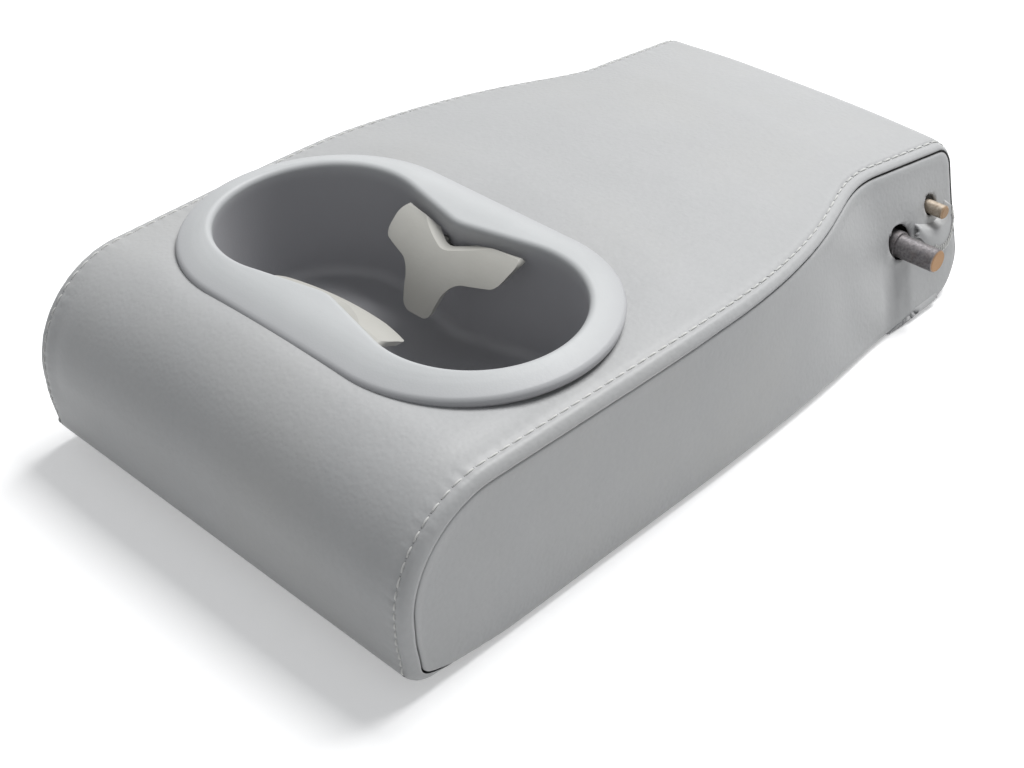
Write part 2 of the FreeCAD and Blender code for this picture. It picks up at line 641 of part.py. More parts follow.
def hook_strip():
    """Right-hand J strip that hooks the cover round the pan's flange."""
    gap = FIT
    outer = PAN_HALF_WIDTH + gap
    inner = PAN_HALF_WIDTH - PAN_THICK - gap
    low = PAN_FLANGE_Z - gap - HOOK_THICK
    leg = box(outer, outer + HOOK_THICK, HOOK_FRONT_Y, HOOK_REAR_Y, low, PAN_TOP_Z)
    sole = box(inner - HOOK_THICK, outer + HOOK_THICK, HOOK_FRONT_Y, HOOK_REAR_Y, low, low + HOOK_THICK)
    lip = box(inner - HOOK_THICK, inner, HOOK_FRONT_Y, HOOK_REAR_Y, low, PAN_TOP_Z - PAN_THICK - gap)
    return leg.fuse([sole, lip]).removeSplitter()


def both_sides(name, right):
    """The right-hand piece and its mirror image, under their own names."""
    return {name + "_right": right, name + "_left": mirrored(right)}


def front_and_rear(name, rear):
    """The rear gripper's piece and its turned copy at the front."""
    return {name + "_rear": rear, name + "_front": turned(rear)}


def build():
    outer = rolled_form()
    top, right, left, bottom = cover_panels(outer)
    nodes = {
        "top_panel": top,
        "side_panel_right": right,
        "side_panel_left": left,
        "bottom_panel": bottom,
        "foam_pad": foam_pad(),
        "cup_holder": cup_holder(outer),
        "base_pan": base_pan(),
        "hinge_tube": hinge_tube(),
        "pivot_shaft": pivot_shaft(),
        "cup_holder_screws": cup_holder_screws(),
        "bracket_bolts": bracket_bolts(),
    }
    nodes.update(front_and_rear("gripper", gripper()))
    nodes.update(front_and_rear("gripper_pin", gripper_pin()))
    nodes.update(front_and_rear("gripper_spring", gripper_spring()))
    nodes.update(both_sides("hinge_bracket", hinge_bracket()))
    nodes.update(both_sides("bush", bush()))
    nodes.update(both_sides("retaining_ring", retaining_ring()))
    nodes.update(both_sides("stop_pin", stop_pin()))
    nodes.update(both_sides("hook_strip", hook_strip()))
    return nodes


def main():
    os.makedirs("parts", exist_ok=True)
    for name, shape in build().items():
        solids = shape.Solids
        out = solids[0] if len(solids) == 1 else Part.makeCompound(solids)
        out.exportStep("parts/" + name + ".step")
        print(name, len(solids), "valid" if out.isValid() else "INVALID", round(out.Volume, 1))


main()
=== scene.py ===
"""Looks of the rear seat armrest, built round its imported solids.

Lengths are in millimetres, and in metres in meshes, materials, lights and the camera.
"""
import math
import bpy
import bmesh
import numpy as np
from mathutils import Matrix, Vector, noise

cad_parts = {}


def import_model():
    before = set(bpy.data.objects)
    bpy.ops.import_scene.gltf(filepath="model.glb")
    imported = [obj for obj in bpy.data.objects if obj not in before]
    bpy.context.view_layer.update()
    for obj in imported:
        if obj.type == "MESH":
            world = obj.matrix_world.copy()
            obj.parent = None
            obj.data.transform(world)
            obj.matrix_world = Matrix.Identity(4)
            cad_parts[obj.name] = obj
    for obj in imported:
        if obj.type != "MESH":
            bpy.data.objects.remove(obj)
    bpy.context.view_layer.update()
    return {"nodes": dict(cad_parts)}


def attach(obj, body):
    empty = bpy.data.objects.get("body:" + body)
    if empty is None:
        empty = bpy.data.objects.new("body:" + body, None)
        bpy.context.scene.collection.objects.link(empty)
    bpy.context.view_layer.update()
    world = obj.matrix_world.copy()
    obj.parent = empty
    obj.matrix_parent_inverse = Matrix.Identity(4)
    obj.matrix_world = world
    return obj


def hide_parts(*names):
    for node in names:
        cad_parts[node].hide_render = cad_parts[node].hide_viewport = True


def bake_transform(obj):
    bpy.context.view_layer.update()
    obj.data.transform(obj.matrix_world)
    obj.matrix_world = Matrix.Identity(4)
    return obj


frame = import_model()
MM = 0.001

# The form, with the sizes of the part's source
FRONT_Y, REAR_Y = -172.5, 172.5
TOP_FRONT, TOP_MIDDLE, TOP_REAR = (-126.0, 81.2), (-18.0, 78.8), (118.0, 68.2)
REAR_OUT, REAR_EDGE_Z = 1.4, 61.0
REAR_UNDERCUT, REAR_HEIGHT = 15.5, 73.0
AXIS_Z = TOP_MIDDLE[1] - 1378.0
FRONT_HALF, REAR_HALF, REAR_SIDE_LEAN = 105.0, 99.0, 0.355
WAIST = (-37.5, 72.5, 85.5, 117.5)
ROLL = 5.0
CUP_Y, RIM_OFFSET, RIM_RADIUS = -76.0, 37.7, 56.9

# How the soft cover departs from it
FRONT_LEAN = 2.5
FRONT_LIFT, FRONT_LIFT_FADES = 4.5, 45
LEFT_DRAWN_IN = 0.036
PROFILE_ENDS = (-138.0, 104.0)
SWELL_MOST, SWELL_USED = 2.5, 0.4
DENT_MOST = 1.1
LOWEST = 0.02
THICKNESS = 0.0014
FOAM_CLEAR = 2.6

# Seam and stitches
SEAM_START, SEAM_GAP, SEAM_TURN_REAR = 26.0, 0.8, 0.72
TOP_TUCKS, SIDE_TUCKS = (0.35, 0.9, 1.7), (2.6, 1.9, 1.1)
STITCH_INSET = 4.0
STITCH_PITCH_FRONT, STITCH_PITCH_TOP = 4.6, 5.5
THREAD_RADIUS, HOLE_SIDES = 0.33, 10
OVERLOCK_PITCH = 1.5

# Holes for the pins in the side panels, as (y, z) and radius, and the flap's upper and lower edge between them
HOLES = (((126.4, 32.6), 7.3), ((150.2, 39.3), 4.5))
FLAP_TOP = [(137.6, 36.4), (143.5, 34.0), (150.0, 32.6), (156.0, 34.0), (160.5, 37.6)]
FLAP_FOOT = [(134.6, 33.2), (139.8, 27.0), (146.5, 21.6), (155.0, 22.8), (161.0, 30.0)]

# Cup holder: two wells joined at a waist between two ridges, with a window in each ridge for the gripper's arms
WELL_RADIUS, WELL_OFFSET = 40.0, 42.6
RIDGE_GAP, RIDGE_RADIUS = 31.5, 18.0
CREST, TUB_FLOOR, TUB_ROUND = 2.4, 34.0, 5.0
WINDOW_HALF, WINDOW_FOOT, WINDOW_TOP = 8.6, 67.5, 76.2
NOTCH_HALF, NOTCH_TOP = 4.3, 74.4

LINING_ENDS, LINING_INSET = (-161.5, 131.5), 5.4
FLOOR_HALF, FLOOR_Z = 3000, -0.3


def smooth(a, b, x):
    t = np.clip((np.asarray(x, float) - a) / (b - a), 0, 1)
    return t * t * (3 - 2 * t)


# Waist curve: a table of y and of the share of the rear width there
_t = np.linspace(0, 1, 400)
_b = [(1 - _t) ** 3, 3 * (1 - _t) ** 2 * _t, 3 * (1 - _t) * _t ** 2, _t ** 3]
_waist_y = sum(b * y for b, y in zip(_b, WAIST))
_waist_rear = _b[2] + _b[3]


def side_x(y, z):
    """Half width of the form at y and z."""
    share = np.interp(y, _waist_y, _waist_rear)
    return FRONT_HALF * (1 - share) + (REAR_HALF - REAR_SIDE_LEAN * np.asarray(z, float)) * share


def middle_profile(spacing):
    """Lengths, points and outward normals (s, y, z, ny, nz) along the middle, from front to rear."""
    slope = (TOP_MIDDLE[1] - TOP_FRONT[1]) / (TOP_MIDDLE[0] - TOP_FRONT[0])
    nose_z = TOP_FRONT[1] + slope * (FRONT_Y - TOP_FRONT[0])
    rear_y = REAR_Y + REAR_OUT
    rear_foot_y = rear_y - (REAR_UNDERCUT + REAR_OUT) * REAR_EDGE_Z / REAR_HEIGHT
    # Each corner is y, z and the radius that rounds it
    corners = [(FRONT_Y + FRONT_LEAN, 0, 11), (FRONT_Y, 26, 60), (FRONT_Y, nose_z, 42), (*TOP_MIDDLE, 320),
               (*TOP_REAR, 90), (rear_y, REAR_EDGE_Z, 9), (rear_foot_y, 0, 24)]
    path = [(PROFILE_ENDS[0], 0.0)] + [c[:2] for c in corners] + [(PROFILE_ENDS[1], 0.0)]
    points = [np.array(path[0])]
    for i, (y, z, radius) in enumerate(corners):
        here = np.array((y, z))
        before = np.array(path[i]) - here
        after = np.array(path[i + 2]) - here
        before /= np.linalg.norm(before)
        after /= np.linalg.norm(after)
        half = math.acos(np.clip(before @ after, -1, 1)) / 2
        start = here + before * radius / math.tan(half)
        stop = here + after * radius / math.tan(half)
        bisector = (before + after) / np.linalg.norm(before + after)
        centre = here + bisector * radius / math.sin(half)
        a0 = math.atan2(*(start - centre)[::-1])
        a1 = math.atan2(*(stop - centre)[::-1])
        turn = (a1 - a0 + math.pi) % (2 * math.pi) - math.pi
        for k in range(25):
            a = a0 + turn * k / 24
            points.append(centre + radius * np.array((math.cos(a), math.sin(a))))
    points.append(np.array(path[-1]))
    points = np.array(points)
    lengths = np.r_[0, np.cumsum(np.linalg.norm(np.diff(points, axis=0), axis=1))]
    keep = np.r_[True, np.diff(lengths) > 1e-6]
    points, lengths = points[keep], lengths[keep]
    count = int(lengths[-1] / spacing) + 1
    s = np.linspace(0, lengths[-1], count)
    y = np.interp(s, lengths, points[:, 0])
    z = np.interp(s, lengths, points[:, 1])
    ty, tz = np.gradient(y), np.gradient(z)
    size = np.hypot(ty, tz)
    return s, y, z, -tz / size, ty / size


def settle_front(points):
    """Brings the left side in a little towards the front and the front's foot off the floor, as photographed."""
    lift = FRONT_LIFT * smooth(-122, -168, points[..., 1])
    points[..., 2] += lift * np.clip(1 - points[..., 2] / FRONT_LIFT_FADES, 0, 1)
    come_in = 1 - LEFT_DRAWN_IN * smooth(-40, FRONT_Y, points[..., 1]) * (points[..., 0] < 0)
    points[..., 0] *= come_in


def crowned(x, z):
    """Height after the crown: the further from the middle, the lower, but not at the floor."""
    radius = np.asarray(z, float) - AXIS_Z
    drop = radius - np.sqrt(radius ** 2 - np.asarray(x, float) ** 2)
    return z - drop * np.clip((np.asarray(z, float) - 12) / 25, 0, 1)


def stadium_distance(x, y):
    """Distance from the line that joins the centres of the cup holder's two ends."""
    return np.hypot(np.maximum(np.abs(x) - RIM_OFFSET, 0), y - CUP_Y)


def waves(points, scale, seed):
    """Smooth noise, about -1 to 1, at points in millimetres; scale is its size in millimetres."""
    shift = Vector((seed * 17.3, seed * 5.7, seed * 11.1))
    flat = points.reshape(-1, 3)
    values = np.array([noise.noise(Vector(p) / scale + shift) for p in flat])
    return values.reshape(points.shape[:-1])


def grid_faces(rows, columns):
    a = np.arange(rows * columns).reshape(rows, columns)
    return np.stack([a[:-1, :-1], a[:-1, 1:], a[1:, 1:], a[1:, :-1]], -1).reshape(-1, 4)


def new_object(name, data):
    obj = bpy.data.objects.new(name, data)
    bpy.context.scene.collection.objects.link(obj)
    return obj


def new_mesh(name, points, faces, material=None, flip=False):
    """An object from points in millimetres; flip turns its faces over."""
    mesh = bpy.data.meshes.new(name)
    faces = np.asarray(faces)
    if flip:
        faces = faces[:, ::-1]
    mesh.from_pydata((np.asarray(points).reshape(-1, 3) * MM).tolist(), [], faces.tolist())
    mesh.update()
    mesh.shade_smooth()
    if material:
        mesh.materials.append(material)
    return new_object(name, mesh)


def grid_normals(p):
    """Unit normals of a grid of points."""
    du = np.gradient(p, axis=1)
    dv = np.gradient(p, axis=0)
    n = np.cross(du, dv)
    return n / np.maximum(np.linalg.norm(n, axis=-1, keepdims=True), 1e-9)


def drop_faces(obj, test):
    """Deletes the faces whose middle, in millimetres, passes the test."""
    bm = bmesh.new()
    bm.from_mesh(obj.data)
    gone = [f for f in bm.faces if test(f.calc_center_median() / MM)]
    bmesh.ops.delete(bm, geom=gone, context="FACES")
    bm.to_mesh(obj.data)
    bm.free()


# Materials

def nodes_of(name):
    material = bpy.data.materials.new(name)
    material.use_nodes = True
    tree = material.node_tree
    return material, tree, tree.nodes["Principled BSDF"]


def add(tree, kind, **values):
    node = tree.nodes.new(kind)
    for key, value in values.items():
        if key in node.inputs:
            node.inputs[key].default_value = value
        else:
            setattr(node, key, value)
    return node


def coords(tree):
    return add(tree, "ShaderNodeTexCoord").outputs["Object"]


def texture_noise(tree, where, scale, detail=3.0, rough=0.5, distortion=0.0):
    node = add(tree, "ShaderNodeTexNoise", Scale=scale, Detail=detail, Roughness=rough, Distortion=distortion)
    tree.links.new(where, node.inputs["Vector"])
    return node.outputs["Fac"]


def ramp(tree, value, low, high, colour_low, colour_high):
    node = add(tree, "ShaderNodeValToRGB")
    node.color_ramp.elements[0].position = low
    node.color_ramp.elements[1].position = high
    node.color_ramp.elements[0].color = (*colour_low, 1)
    node.color_ramp.elements[1].color = (*colour_high, 1)
    tree.links.new(value, node.inputs["Fac"])
    return node.outputs["Color"]


def mix_colour(tree, factor, a, b):
    node = tree.nodes.new("ShaderNodeMix")
    node.data_type = "RGBA"
    for value, key in ((factor, 0), (a, 6), (b, 7)):
        if isinstance(value, (int, float)):
            node.inputs[key].default_value = value
        elif isinstance(value, tuple):
            node.inputs[key].default_value = (*value, 1)
        else:
            tree.links.new(value, node.inputs[key])
    return node.outputs[2]


def bump(tree, shader, height, strength, distance, after=None):
    node = add(tree, "ShaderNodeBump", Strength=strength, Distance=distance)
    tree.links.new(height, node.inputs["Height"])
    if after:
        tree.links.new(after, node.inputs["Normal"])
    tree.links.new(node.outputs["Normal"], shader.inputs["Normal"])
    return node.outputs["Normal"]


def spread(tree, value, low, high, start=0.0, stop=1.0, soft=False):
    """Spreads a value between start and stop over low to high."""
    node = add(tree, "ShaderNodeMapRange")
    if soft:
        node.interpolation_type = "SMOOTHSTEP"
    for key, limit in (("From Min", start), ("From Max", stop), ("To Min", low), ("To Max", high)):
        node.inputs[key].default_value = limit
    tree.links.new(value, node.inputs["Value"])
    return node.outputs["Result"]


def along_axis(tree, where, axis):
    node = tree.nodes.new("ShaderNodeSeparateXYZ")
    tree.links.new(where, node.inputs["Vector"])
    return node.outputs[axis]


def leather():
    material, tree, shader = nodes_of("grey_leather")
    where = coords(tree)
    broad = texture_noise(tree, where, 9.0, 4.0, 0.6)
    fine = texture_noise(tree, where, 420.0, 2.0, 0.6)
    tone = ramp(tree, broad, 0.30, 0.72, (0.430, 0.435, 0.437), (0.474, 0.478, 0.480))
    tone = mix_colour(tree, 0.10, tone, ramp(tree, fine, 0.3, 0.7, (0.34, 0.34, 0.34), (0.56, 0.56, 0.56)))
    stain = texture_noise(tree, where, 16.0, 3.0, 0.55)
    tone = mix_colour(tree, spread(tree, stain, -0.28, 0.32), tone, (0.455, 0.448, 0.418))
    tree.links.new(tone, shader.inputs["Base Color"])
    tree.links.new(spread(tree, fine, 0.42, 0.60), shader.inputs["Roughness"])
    cells = add(tree, "ShaderNodeTexVoronoi", Scale=620.0, Randomness=1.0)
    cells.feature = "SMOOTH_F1"
    tree.links.new(where, cells.inputs["Vector"])
    first = bump(tree, shader, cells.outputs["Distance"], 0.16, 0.0006)
    creases = texture_noise(tree, where, 150.0, 4.0, 0.62, 0.6)
    bump(tree, shader, creases, 0.045, 0.0012, first)
    shader.inputs["Specular IOR Level"].default_value = 0.42
    return material


def moulded(name, low, high, grain, rough_low, rough_high, deep=None):
    """Material with a fine grain; deep is (low, high, colour), the colour that it takes below those heights as
    painted shade.
    """
    material, tree, shader = nodes_of(name)
    where = coords(tree)
    broad = texture_noise(tree, where, 22.0, 4.0, 0.6)
    fine = texture_noise(tree, where, grain, 2.0, 0.6)
    tone = ramp(tree, broad, 0.3, 0.7, low, high)
    # Painted shade: between the two heights the tone turns to the darker colour
    if deep:
        bottom, top_edge, colour = deep
        share = spread(tree, along_axis(tree, where, "Z"), 0.0, 1.0, bottom, top_edge, soft=True)
        tone = mix_colour(tree, share, colour, tone)
    tree.links.new(tone, shader.inputs["Base Color"])
    tree.links.new(spread(tree, fine, rough_low, rough_high), shader.inputs["Roughness"])
    bump(tree, shader, fine, 0.12, 0.0003)
    return material


def metal(name, low, high, rust, amount, rough):
    """Worn steel with rust in patches. Returns what end_painted needs, the material first."""
    material, tree, shader = nodes_of(name)
    where = coords(tree)
    patches = texture_noise(tree, where, 260.0, 5.0, 0.65, 0.4)
    streak = texture_noise(tree, where, 900.0, 2.0, 0.5)
    tone = ramp(tree, streak, 0.3, 0.7, low, high)
    tone = mix_colour(tree, spread(tree, patches, -amount, amount), tone, rust)
    tree.links.new(tone, shader.inputs["Base Color"])
    tree.links.new(spread(tree, patches, rough, rough + 0.25), shader.inputs["Roughness"])
    shader.inputs["Metallic"].default_value = 0.75
    bump(tree, shader, streak, 0.15, 0.0002)
    return material, tree, shader, tone, where


def end_painted(made, colour, start, stop):
    """Blends a colour in where |x| passes from start to stop metres."""
    material, tree, shader, tone, where = made
    size = add(tree, "ShaderNodeMath", operation="ABSOLUTE")
    tree.links.new(along_axis(tree, where, "X"), size.inputs[0])
    share = spread(tree, size.outputs[0], 0.0, 1.0, start, stop)
    tree.links.new(mix_colour(tree, share, tone, colour), shader.inputs["Base Color"])
    return material


def felt():
    material, tree, shader = nodes_of("felt_lining")
    where = coords(tree)
    fibre = texture_noise(tree, where, 700.0, 4.0, 0.7, 1.2)
    tree.links.new(ramp(tree, fibre, 0.25, 0.75, (0.030, 0.030, 0.031), (0.075, 0.075, 0.077)),
                   shader.inputs["Base Color"])
    tree.links.new(spread(tree, fibre, 0.85, 1.0), shader.inputs["Roughness"])
    bump(tree, shader, fibre, 0.5, 0.0008)
    return material


LEATHER = leather()
LINING = felt()
# Painted shade: the tub's inside turns darker from 85.5 mm down to 78 mm, below the rim; rim and tub are one
# grey moulding
CUP = moulded("cup_plastic_grey_painted_shade", (0.500, 0.512, 0.516), (0.545, 0.556, 0.560), 1100.0, 0.44, 0.60,
              deep=(0.078, 0.0855, (0.40, 0.40, 0.415)))
CREAM = moulded("gripper_cream", (0.430, 0.422, 0.388), (0.490, 0.483, 0.450), 700.0, 0.50, 0.66)
THREAD = moulded("pale_thread", (0.60, 0.60, 0.58), (0.72, 0.72, 0.70), 1600.0, 0.55, 0.75)
# Painted shade: the foam is coloured near black so that the gaps of the pin holes look dark
FOAM_PAINTED_DARK = moulded("foam_painted_shade", (0.050, 0.048, 0.044), (0.085, 0.081, 0.074), 500.0, 0.9, 1.0)
# Painted shade: a near-black colour for the needle holes and for the tucked strips in the seam's open groove
PAINTED_SHADE = moulded("painted_shade_dark", (0.030, 0.030, 0.030), (0.060, 0.060, 0.060), 900.0, 0.8, 0.95)
BLACK = moulded("black_plastic", (0.020, 0.020, 0.022), (0.034, 0.034, 0.036), 900.0, 0.45, 0.65)
COATED = moulded("black_coated_steel", (0.022, 0.023, 0.024), (0.040, 0.041, 0.042), 800.0, 0.35, 0.55)
SHAFT = metal("worn_shaft", (0.13, 0.125, 0.13), (0.24, 0.225, 0.23), (0.14, 0.09, 0.06), 0.55, 0.38)
SHAFT = end_painted(SHAFT, (0.34, 0.20, 0.10), 0.1043, 0.1049)
STOP_STEEL = metal("rusty_pin", (0.30, 0.25, 0.20), (0.46, 0.40, 0.33), (0.22, 0.12, 0.06), 0.8, 0.45)
STOP_STEEL = end_painted(STOP_STEEL, (0.30, 0.20, 0.12), 0.0905, 0.0919)
SPRING = metal("spring_steel", (0.42, 0.42, 0.42), (0.56, 0.56, 0.56), (0.3, 0.28, 0.25), 0.3, 0.3)[0]
ZINC = metal("zinc_fasteners", (0.50, 0.50, 0.47), (0.64, 0.64, 0.60), (0.5, 0.46, 0.34), 0.4, 0.35)[0]

cad = frame["nodes"]


def paint(material, *names):
    for name in names:
        mesh = cad[name].data
        mesh.materials.clear()
        mesh.materials.append(material)


paint(CREAM, "gripper_front", "gripper_rear")
paint(SHAFT, "pivot_shaft")
paint(STOP_STEEL, "stop_pin_left", "stop_pin_right")
paint(ZINC, "cup_holder_screws", "bracket_bolts", "retaining_ring_left", "retaining_ring_right")
paint(SPRING, "gripper_spring_front", "gripper_spring_rear", "gripper_pin_front", "gripper_pin_rear")
paint(BLACK, "bush_left", "bush_right", "hook_strip_left", "hook_strip_right")
paint(COATED, "base_pan", "hinge_tube", "hinge_bracket_left", "hinge_bracket_right")
paint(FOAM_PAINTED_DARK, "foam_pad")


# Cup holder

def peanut_outline(count):
    """Points (x, y from the middle) and outward normals along the outline of the two joined wells."""
    ridge_y = RIDGE_GAP + RIDGE_RADIUS
    lean = math.atan2(ridge_y, -WELL_OFFSET)
    lean -= math.acos((WELL_RADIUS + RIDGE_RADIUS) / math.hypot(WELL_OFFSET, ridge_y))
    quarter = []
    for k in range(40):
        a = lean * k / 39
        quarter.append((WELL_OFFSET + WELL_RADIUS * math.cos(a), WELL_RADIUS * math.sin(a)))
    for k in range(1, 40):
        a = lean + (math.pi / 2 - lean) * k / 39
        quarter.append((-RIDGE_RADIUS * math.cos(a), ridge_y - RIDGE_RADIUS * math.sin(a)))
    quarter = np.array(quarter)
    quarter[40:, 0] = np.abs(quarter[40:, 0])
    loop = np.concatenate([quarter, (quarter * (-1, 1))[-2::-1], (quarter * (-1, -1))[1:],
                           (quarter * (1, -1))[-2:0:-1]])
    closed = np.concatenate([loop, loop[:1]])
    run = np.r_[0, np.cumsum(np.linalg.norm(np.diff(closed, axis=0), axis=1))]
    at = np.linspace(0, run[-1], count + 1)[:-1]
    points = np.stack([np.interp(at, run, closed[:, c]) for c in range(2)], -1)
    ahead = np.roll(points, -1, 0) - np.roll(points, 1, 0)
    normal = np.stack([ahead[:, 1], -ahead[:, 0]], -1)
    return points, normal / np.linalg.norm(normal, axis=1, keepdims=True)


def cup_mesh():
    """Rim and tub in one moulding: lip, dome, rounded crest, wall, rounded floor edge and floor."""
    count = 384
    inner, normal = peanut_outline(count)
    spine = np.stack([np.clip(inner[:, 0], -RIM_OFFSET, RIM_OFFSET), np.zeros(count)], -1)
    outwards = (inner - spine) / np.linalg.norm(inner - spine, axis=1, keepdims=True)
    rows = []

    def dome(reach):
        return np.interp(RIM_RADIUS - reach, (0, 1.2, 3.0, 6.4, 9.5, 12.5, 16.0, 60),
                         (81.4, 82.05, 82.75, 84.05, 85.0, 85.6, 85.9, 85.9))

    def row(plan, z):
        rows.append(np.column_stack([plan[:, 0], plan[:, 1] + CUP_Y, np.broadcast_to(z, count)]))

    rim = spine + outwards * RIM_RADIUS
    for back, z in ((0.5, 78.2), (0.15, 79.4), (0.0, 80.5), (0.25, 81.05)):
        row(rim - outwards * back, z)
    start = spine + outwards * (RIM_RADIUS - 0.9)
    stop = inner + normal * CREST
    for k in range(17):
        plan = start + (stop - start) * k / 16
        row(plan, dome(np.linalg.norm(plan - spine, axis=1)))
    top_z = dome(np.linalg.norm(stop - spine, axis=1))
    for k in range(1, 9):
        a = math.pi / 2 * k / 8
        row(inner + normal * CREST * (1 - math.sin(a)), top_z - CREST * (1 - math.cos(a)))
    for z in (80.5, 78.2, WINDOW_TOP, NOTCH_TOP, 72.0, WINDOW_FOOT, 62, 56, 50, 44, TUB_FLOOR + TUB_ROUND):
        row(inner, z)
    for k in range(1, 8):
        a = math.pi / 2 * k / 7
        row(inner - normal * TUB_ROUND * (1 - math.cos(a)), TUB_FLOOR + TUB_ROUND * (1 - math.sin(a)))
    floor_edge = inner - normal * TUB_ROUND
    middle = np.stack([np.clip(floor_edge[:, 0], -WELL_OFFSET, WELL_OFFSET), np.zeros(count)], -1)
    for k in range(1, 9):
        row(floor_edge + (middle - floor_edge) * k / 8, TUB_FLOOR)
    points = np.array(rows)
    faces = []
    for i in range(len(rows) - 1):
        for j in range(count):
            n = (j + 1) % count
            faces.append((i * count + j, (i + 1) * count + j, (i + 1) * count + n, i * count + n))
    obj = new_mesh("cup_tub", points, faces, CUP)

    def window(p):
        highest = NOTCH_TOP if abs(p.x) < NOTCH_HALF else WINDOW_TOP
        return abs(p.x) < WINDOW_HALF and WINDOW_FOOT < p.z < highest and abs(p.y - CUP_Y) < WELL_RADIUS

    drop_faces(obj, window)
    bm = bmesh.new()
    bm.from_mesh(obj.data)
    bmesh.ops.remove_doubles(bm, verts=bm.verts, dist=1e-6)
    bmesh.ops.recalc_face_normals(bm, faces=bm.faces)
    bm.to_mesh(obj.data)
    bm.free()
    obj.data.shade_smooth()
    solid = obj.modifiers.new("wall", "SOLIDIFY")
    solid.thickness = THICKNESS
    solid.offset = -1
    return obj


cup_tub = cup_mesh()

# Cover: top panel

def across(flat_steps, roll_steps):
    """Columns across the top panel: (share of the flat width, roll angle, tuck depth), left to right."""
    right = [(k / flat_steps, 0.0, 0.0) for k in range(flat_steps)]
    right += [(1.0, math.pi / 2 * k / roll_steps, 0.0) for k in range(roll_steps + 1)]
    right += [(1.0, math.pi / 2, d) for d in TOP_TUCKS]
    left = [(-a, b, c) for a, b, c in right[:0:-1]]
    return left + right


def seam_turn(profile):
    """Share of the rolled edge that the top panel covers: less at the rear, and running out on the floor."""
    s, y0 = profile[:2]
    most = 1 - (1 - SEAM_TURN_REAR) * smooth(-70, 70, y0)
    return 0.05 + (most - 0.05) * smooth(0, SEAM_START, s) * smooth(0, SEAM_START, s[-1] - s)


def top_points(profile, columns):
    """Grid of points of the top panel."""
    s, y0, z0, ny, nz = profile
    turn = seam_turn(profile)
    points = np.zeros((len(s), len(columns), 3))
    for j, (share, angle, tuck) in enumerate(columns):
        side = -1 if share < 0 else 1
        angles = angle * turn
        depth = ROLL * (1 - np.cos(angles)) + tuck * np.cos(angles)
        y = y0 - depth * ny
        z = z0 - depth * nz
        half = side_x(y, np.maximum(z, 0))
        x = np.abs(share) * (half - ROLL) + (ROLL - tuck) * np.sin(angles)
        z = np.where(z > 0, crowned(x, z), z)
        points[:, j] = np.stack([side * x, y, np.maximum(z, LOWEST)], -1)
    return points


def seam_open(profile):
    """1 where the seam is an open groove, 0 at the rear's foot, where it closes."""
    y0, z0 = profile[1:3]
    narrower = 1 - 0.45 * smooth(164, 171, y0)
    return np.where(y0 < 0, 1.0, smooth(18, 34, z0) * narrower)


def inflate(points, steps=16):
    """How far each point of a grid of the cover moves outwards in a cloth simulation that holds its border."""
    rows, columns = points.shape[:2]
    obj = new_mesh("cloth_trial", points, grid_faces(rows, columns))
    group = obj.vertex_groups.new(name="held")
    held = [i * columns + j for i in range(rows) for j in range(columns)
            if i < 2 or i > rows - 3 or j < 2 or j > columns - 3]
    group.add(held, 1.0, "REPLACE")
    cloth = obj.modifiers.new("cloth", "CLOTH")
    settings = cloth.settings
    settings.quality = 6
    settings.mass = 0.25
    settings.tension_stiffness = settings.compression_stiffness = 25
    settings.bending_stiffness = 1.5
    settings.use_pressure = True
    settings.uniform_pressure_force = 4.0
    settings.vertex_group_mass = "held"
    settings.effector_weights.gravity = 0.0
    cloth.point_cache.frame_start, cloth.point_cache.frame_end = 1, steps
    scene = bpy.context.scene
    for k in range(1, steps + 1):
        scene.frame_set(k)
    depsgraph = bpy.context.evaluated_depsgraph_get()
    moved = obj.evaluated_get(depsgraph).data
    flat = np.zeros(rows * columns * 3, np.float32)
    moved.vertices.foreach_get("co", flat)
    scene.frame_set(1)
    bpy.data.objects.remove(obj)
    shift = flat.reshape(rows, columns, 3) / MM - points
    return (shift * grid_normals(points)).sum(-1)


def simulated_swell():
    """The swelling of the top panel over its foam, simulated on a coarse grid and spread over the fine one."""
    profile = middle_profile(6.0)
    columns = across(22, 2)
    coarse = top_points(profile, columns)
    rise = SWELL_MOST * np.tanh(inflate(coarse) / SWELL_MOST)
    rise = np.where(rise < 0, 0.25 * rise, rise)
    for _ in range(6):
        padded = np.pad(rise, 1, mode="edge")
        rise = (padded[:-2, 1:-1] + padded[2:, 1:-1] + padded[1:-1, :-2] + padded[1:-1, 2:] + 2 * rise) / 6
    shares = [c[0] for c in columns]
    fine_shares = [c[0] for c in fine_columns]
    rows = np.array([np.interp(fine_profile[0], profile[0], rise[:, j]) for j in range(len(columns))]).T
    inner = [j for j in range(len(columns)) if abs(shares[j]) < 1]
    return np.array([np.interp(fine_shares, [shares[j] for j in inner], row[inner]) for row in rows])


fine_profile = middle_profile(1.25)
fine_columns = across(44, 8)
groove = seam_open(fine_profile)
top = top_points(fine_profile, fine_columns)
normals = grid_normals(top)
if normals[len(top) // 2, top.shape[1] // 2][2] < 0:
    normals = -normals
swell = simulated_swell()
rim_far = stadium_distance(top[..., 0], top[..., 1])
on_top = (top[..., 2] > 40)
near_rim = np.where(on_top, smooth(RIM_RADIUS + 1, RIM_RADIUS + 22, rim_far), 1.0)
stitch_pitch = np.where((fine_profile[2] < 55) & (fine_profile[1] < 0), STITCH_PITCH_FRONT, STITCH_PITCH_TOP)
stitch_at = np.cumsum(np.gradient(fine_profile[0]) / stitch_pitch)
stitch_phase = np.repeat((stitch_at % 1.0)[:, None], top.shape[1], 1)
edge = side_x(top[..., 1], np.maximum(top[..., 2], 0)) - np.abs(top[..., 0])

